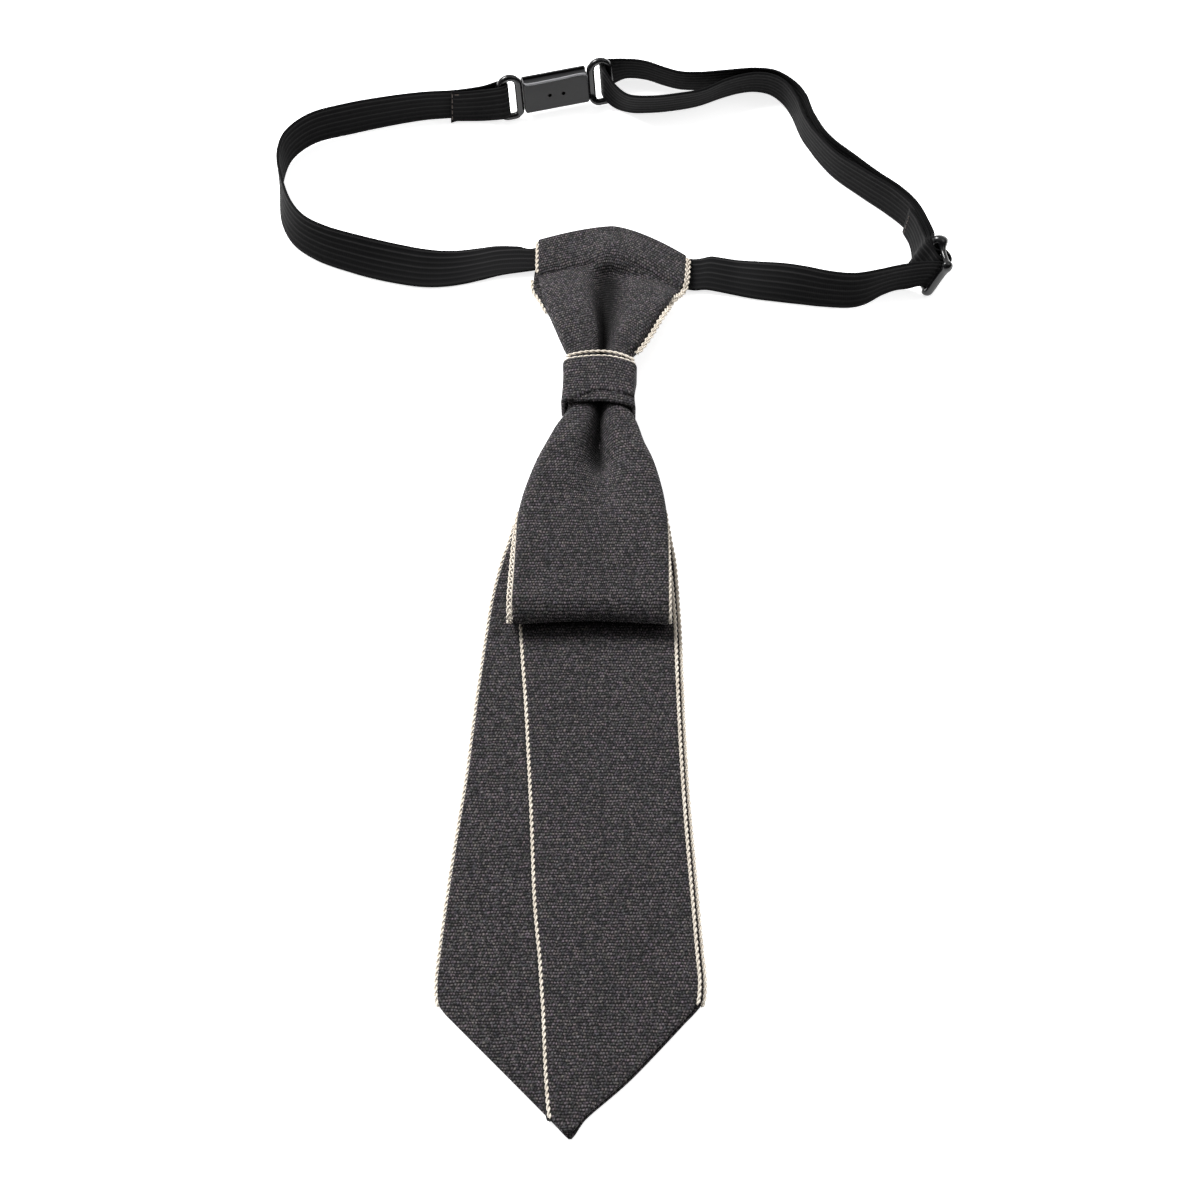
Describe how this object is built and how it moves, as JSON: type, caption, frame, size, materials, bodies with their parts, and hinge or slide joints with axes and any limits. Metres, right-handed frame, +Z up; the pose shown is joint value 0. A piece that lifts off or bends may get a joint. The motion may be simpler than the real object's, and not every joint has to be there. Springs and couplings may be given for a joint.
{
  "type": "pre-tied necktie",
  "caption": "Charcoal pre-tied necktie with cream overlocked edges on a black ribbed elastic neck strap with a breakaway clasp and a slider, lying flat.",
  "frame": {"origin": "centre of the bottom of the whole tie, strap included, as it lies on a table", "axes": "+Z up from the table, +Y from the tail's tip towards the back of the neck strap, +X to the wearer's left with the front facing up"},
  "size_m": [0.2068, 0.3538, 0.0154],
  "materials": {
    "cloth": "matte",
    "overlock": "matte",
    "elastic": "matte",
    "plastic": "satin",
    "glossy_plastic": "glossy"
  },
  "bodies": {
    "root": {"tail_under": "cloth", "tail_over": "cloth", "front_loop": "cloth", "neck_fold": "cloth", "knot_band": "cloth", "tail_under_piping_left": "overlock", "tail_under_piping_right": "overlock", "tail_over_piping_left": "overlock", "tail_over_piping_right": "overlock", "front_loop_piping_left": "overlock", "front_loop_piping_right": "overlock", "neck_fold_piping_left": "overlock", "neck_fold_piping_right": "overlock", "neck_fold_back_piping_left": "overlock", "neck_fold_back_piping_right": "overlock", "knot_band_piping_lower": "overlock", "knot_band_piping_upper": "overlock", "strap_left": "elastic", "strap_right": "elastic", "clasp_socket": "plastic", "clasp_plug": "plastic", "slider": "glossy_plastic"}
  },
  "joints": []
}
